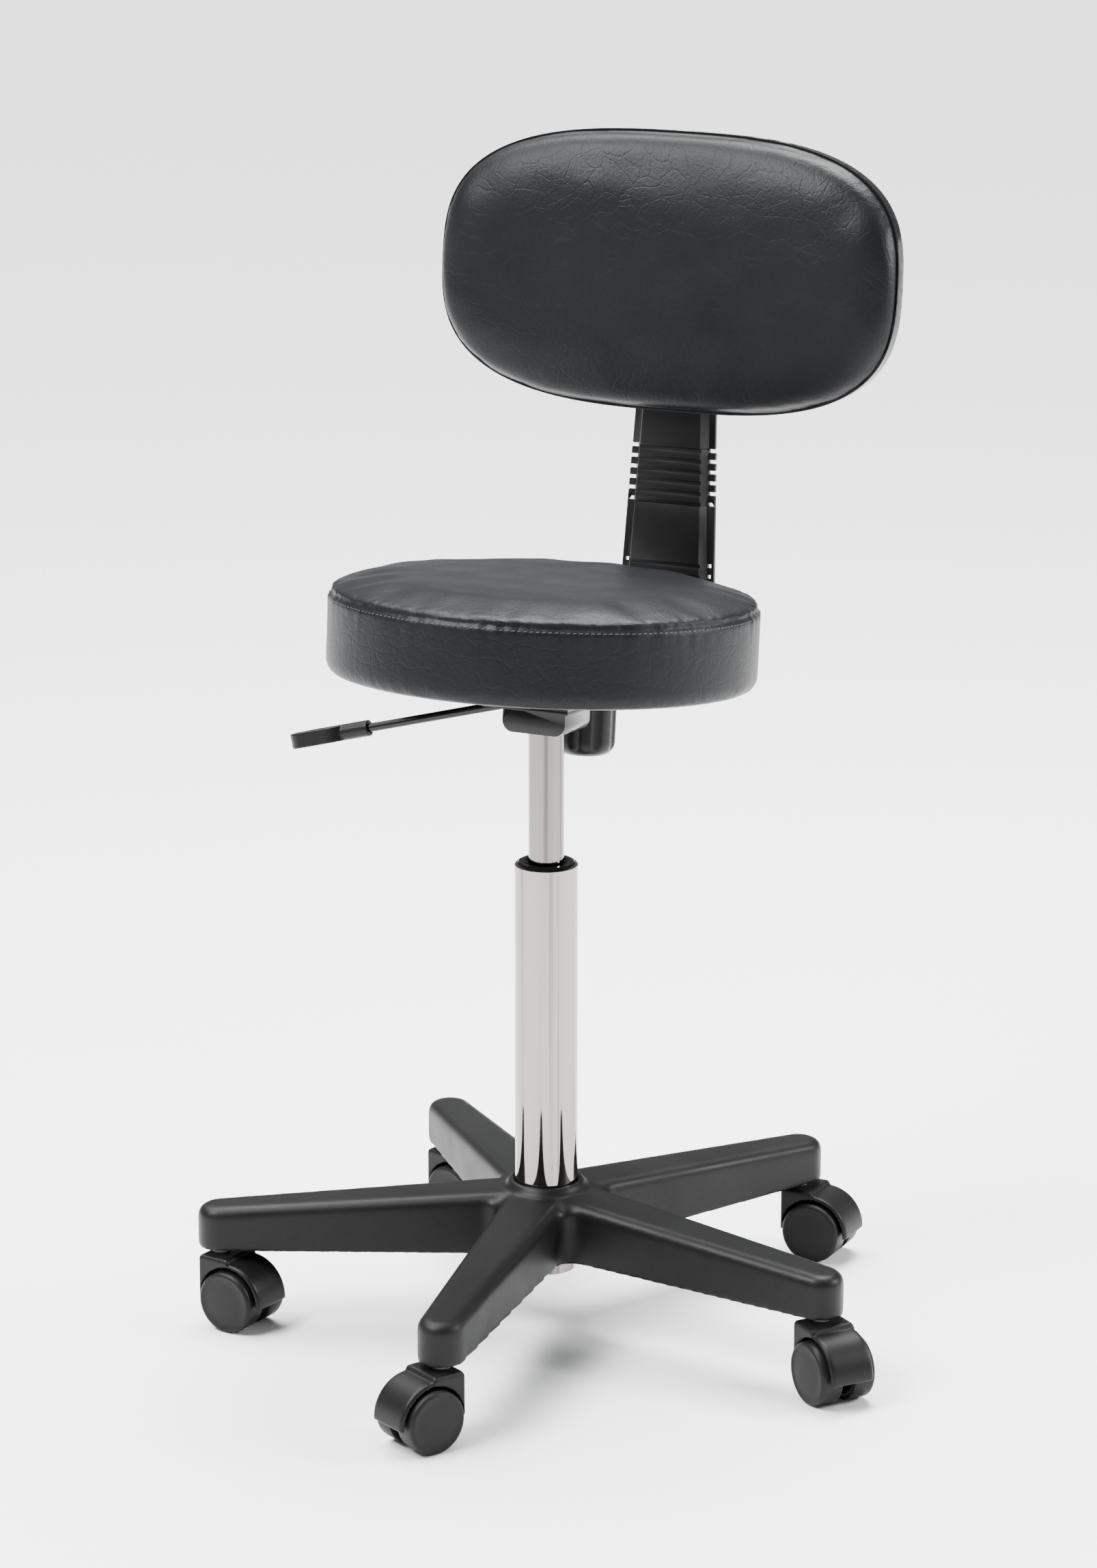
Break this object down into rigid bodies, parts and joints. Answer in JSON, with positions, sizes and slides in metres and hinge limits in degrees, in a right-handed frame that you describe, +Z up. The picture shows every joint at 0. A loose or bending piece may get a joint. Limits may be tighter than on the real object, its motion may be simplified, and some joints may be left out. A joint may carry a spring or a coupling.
{
  "type": "adjustable swivel stool",
  "caption": "Swivel stool with a round padded seat, a padded backrest on an L-shaped bar, a gas lift column and a star base on twin-wheel casters.",
  "frame": {"origin": "on the floor, on the axis of the column", "axes": "+Z up along the column, the sitter faces -Y with the backrest at +Y, the lever points to -X"},
  "size_m": [0.5601, 0.6253, 0.9213],
  "materials": {
    "base_nylon": "fine matte grain",
    "tube_chrome": "bright chrome plate",
    "bush_plastic": "gloss",
    "socket_steel": "zinc plated",
    "bumper_rubber": "matt",
    "rod_chrome": "ground and plated",
    "cylinder_chrome": "ground and chromed",
    "frame_black": "semi-gloss black",
    "screw_steel": "zinc plated",
    "plywood": "raw birch plywood",
    "black_vinyl": "grained vinyl",
    "lever_black": "gloss black",
    "grip_plastic": "satin",
    "knob_plastic": "satin",
    "bar_black": "semi-gloss black",
    "cover_plastic": "satin",
    "bellows_rubber": "satin",
    "trim_pvc": "gloss",
    "shell_plastic": "grained",
    "hood_nylon": "fine matte grain",
    "caster_steel": "zinc plated",
    "wheel_nylon": "satin"
  },
  "bodies": {
    "base": {"star_base": "base_nylon", "outer_tube": "tube_chrome", "guide_bush": "bush_plastic", "caster_sockets": "socket_steel", "bearing_balls": "socket_steel"},
    "piston": {"piston_rod": "rod_chrome", "piston_head": "rod_chrome", "bearing_race": "socket_steel", "rubber_bumper": "bumper_rubber", "retaining_clip": "socket_steel"},
    "seat": {"gas_cylinder": "cylinder_chrome", "rod_seal": "bumper_rubber", "mechanism_box": "frame_black", "bar_guide": "frame_black", "seat_plate": "frame_black", "seat_board": "plywood", "seat_cushion": "black_vinyl", "seat_screws": "screw_steel", "lever_pivot": "screw_steel"},
    "release": {"release_pin": "rod_chrome"},
    "lever": {"lever_rod": "lever_black", "lever_grip": "grip_plastic"},
    "depth_clamp": {"depth_knob": "knob_plastic"},
    "back_support": {"back_bar": "bar_black", "lower_cover": "cover_plastic", "bellows": "bellows_rubber"},
    "backrest": {"upper_cover": "cover_plastic", "back_board": "plywood", "back_pad": "black_vinyl", "back_trim": "trim_pvc", "back_shell": "shell_plastic", "height_bracket": "frame_black", "bracket_screws": "screw_steel"},
    "height_clamp": {"height_knob": "knob_plastic"},
    "caster_1": {"caster_1_hood": "hood_nylon", "caster_1_stem": "caster_steel", "caster_1_axle": "caster_steel"},
    "caster_1_left": {"caster_1_wheel_left": "wheel_nylon"},
    "caster_1_right": {"caster_1_wheel_right": "wheel_nylon"},
    "caster_2": {"caster_2_hood": "hood_nylon", "caster_2_stem": "caster_steel", "caster_2_axle": "caster_steel"},
    "caster_2_left": {"caster_2_wheel_left": "wheel_nylon"},
    "caster_2_right": {"caster_2_wheel_right": "wheel_nylon"},
    "caster_3": {"caster_3_hood": "hood_nylon", "caster_3_stem": "caster_steel", "caster_3_axle": "caster_steel"},
    "caster_3_left": {"caster_3_wheel_left": "wheel_nylon"},
    "caster_3_right": {"caster_3_wheel_right": "wheel_nylon"},
    "caster_4": {"caster_4_hood": "hood_nylon", "caster_4_stem": "caster_steel", "caster_4_axle": "caster_steel"},
    "caster_4_left": {"caster_4_wheel_left": "wheel_nylon"},
    "caster_4_right": {"caster_4_wheel_right": "wheel_nylon"},
    "caster_5": {"caster_5_hood": "hood_nylon", "caster_5_stem": "caster_steel", "caster_5_axle": "caster_steel"},
    "caster_5_left": {"caster_5_wheel_left": "wheel_nylon"},
    "caster_5_right": {"caster_5_wheel_right": "wheel_nylon"}
  },
  "joints": [
    {"name": "seat_swivel", "type": "hinge", "parent": "base", "child": "piston", "pos_m": [0, 0, 0.3], "axis": [0, 0, 1], "continuous": true},
    {"name": "height_lift", "type": "slide", "parent": "piston", "child": "seat", "axis": [0, 0, 1], "range_m": [-0.09, 0.11]},
    {"name": "lever_lift", "type": "hinge", "parent": "seat", "child": "lever", "pos_m": [-0.022, -0.00113, 0.50977], "axis": [0, 0.994, -0.1097], "range_deg": [0, 7], "stiffness_Nm_per_rad": 2, "springref_deg": -8.59},
    {"name": "pin_press", "type": "slide", "parent": "seat", "child": "release", "axis": [0, 0, -1], "range_m": [0, 0.0026]},
    {"name": "depth_knob_turn", "type": "hinge", "parent": "seat", "child": "depth_clamp", "pos_m": [0, 0.07876, 0.49521], "axis": [0, 0.1097, 0.994], "range_deg": [0, 720]},
    {"name": "back_depth", "type": "slide", "parent": "seat", "child": "back_support", "axis": [0, 0.994, -0.1097], "range_m": [-0.018, 0.025]},
    {"name": "back_height", "type": "slide", "parent": "back_support", "child": "backrest", "axis": [0, 0.1097, 0.994], "range_m": [-0.01, 0.05], "deforming": ["bellows"]},
    {"name": "height_knob_turn", "type": "hinge", "parent": "backrest", "child": "height_clamp", "pos_m": [0, 0.28441, 0.77231], "axis": [0, 0.994, -0.1097], "range_deg": [0, 720]},
    {"name": "caster_1_swivel", "type": "hinge", "parent": "base", "child": "caster_1", "pos_m": [0.12882, 0.22584, 0.06], "axis": [0, 0, 1], "continuous": true},
    {"name": "caster_1_left_spin", "type": "hinge", "parent": "caster_1", "child": "caster_1_left", "pos_m": [0.14879, 0.2248, 0.025], "axis": [0.0523, 0.9986, 0], "continuous": true},
    {"name": "caster_1_right_spin", "type": "hinge", "parent": "caster_1", "child": "caster_1_right", "pos_m": [0.14879, 0.2248, 0.025], "axis": [0.0523, 0.9986, 0], "continuous": true},
    {"name": "caster_2_swivel", "type": "hinge", "parent": "base", "child": "caster_2", "pos_m": [-0.17498, 0.1923, 0.06], "axis": [0, 0, 1], "continuous": true},
    {"name": "caster_2_left_spin", "type": "hinge", "parent": "caster_2", "child": "caster_2_left", "pos_m": [-0.15607, 0.18579, 0.025], "axis": [0.3256, 0.9455, 0], "continuous": true},
    {"name": "caster_2_right_spin", "type": "hinge", "parent": "caster_2", "child": "caster_2_right", "pos_m": [-0.15607, 0.18579, 0.025], "axis": [0.3256, 0.9455, 0], "continuous": true},
    {"name": "caster_3_swivel", "type": "hinge", "parent": "base", "child": "caster_3", "pos_m": [-0.23697, -0.10699, 0.06], "axis": [0, 0, 1], "continuous": true},
    {"name": "caster_3_left_spin", "type": "hinge", "parent": "caster_3", "child": "caster_3_left", "pos_m": [-0.21727, -0.11047, 0.025], "axis": [0.1736, 0.9848, 0], "continuous": true},
    {"name": "caster_3_right_spin", "type": "hinge", "parent": "caster_3", "child": "caster_3_right", "pos_m": [-0.21727, -0.11047, 0.025], "axis": [0.1736, 0.9848, 0], "continuous": true},
    {"name": "caster_4_swivel", "type": "hinge", "parent": "base", "child": "caster_4", "pos_m": [0.02853, -0.25843, 0.06], "axis": [0, 0, 1], "continuous": true},
    {"name": "caster_4_left_spin", "type": "hinge", "parent": "caster_4", "child": "caster_4_left", "pos_m": [0.01884, -0.27592, 0.025], "axis": [0.8746, -0.4848, 0], "continuous": true},
    {"name": "caster_4_right_spin", "type": "hinge", "parent": "caster_4", "child": "caster_4_right", "pos_m": [0.01884, -0.27592, 0.025], "axis": [0.8746, -0.4848, 0], "continuous": true},
    {"name": "caster_5_swivel", "type": "hinge", "parent": "base", "child": "caster_5", "pos_m": [0.2546, -0.05273, 0.06], "axis": [0, 0, 1], "continuous": true},
    {"name": "caster_5_left_spin", "type": "hinge", "parent": "caster_5", "child": "caster_5_left", "pos_m": [0.27036, -0.06504, 0.025], "axis": [0.6157, 0.788, 0], "continuous": true},
    {"name": "caster_5_right_spin", "type": "hinge", "parent": "caster_5", "child": "caster_5_right", "pos_m": [0.27036, -0.06504, 0.025], "axis": [0.6157, 0.788, 0], "continuous": true}
  ],
  "couplings": [
    {"joint": "pin_press", "follows": "lever_lift", "m_per_rad": 0.0185}
  ]
}
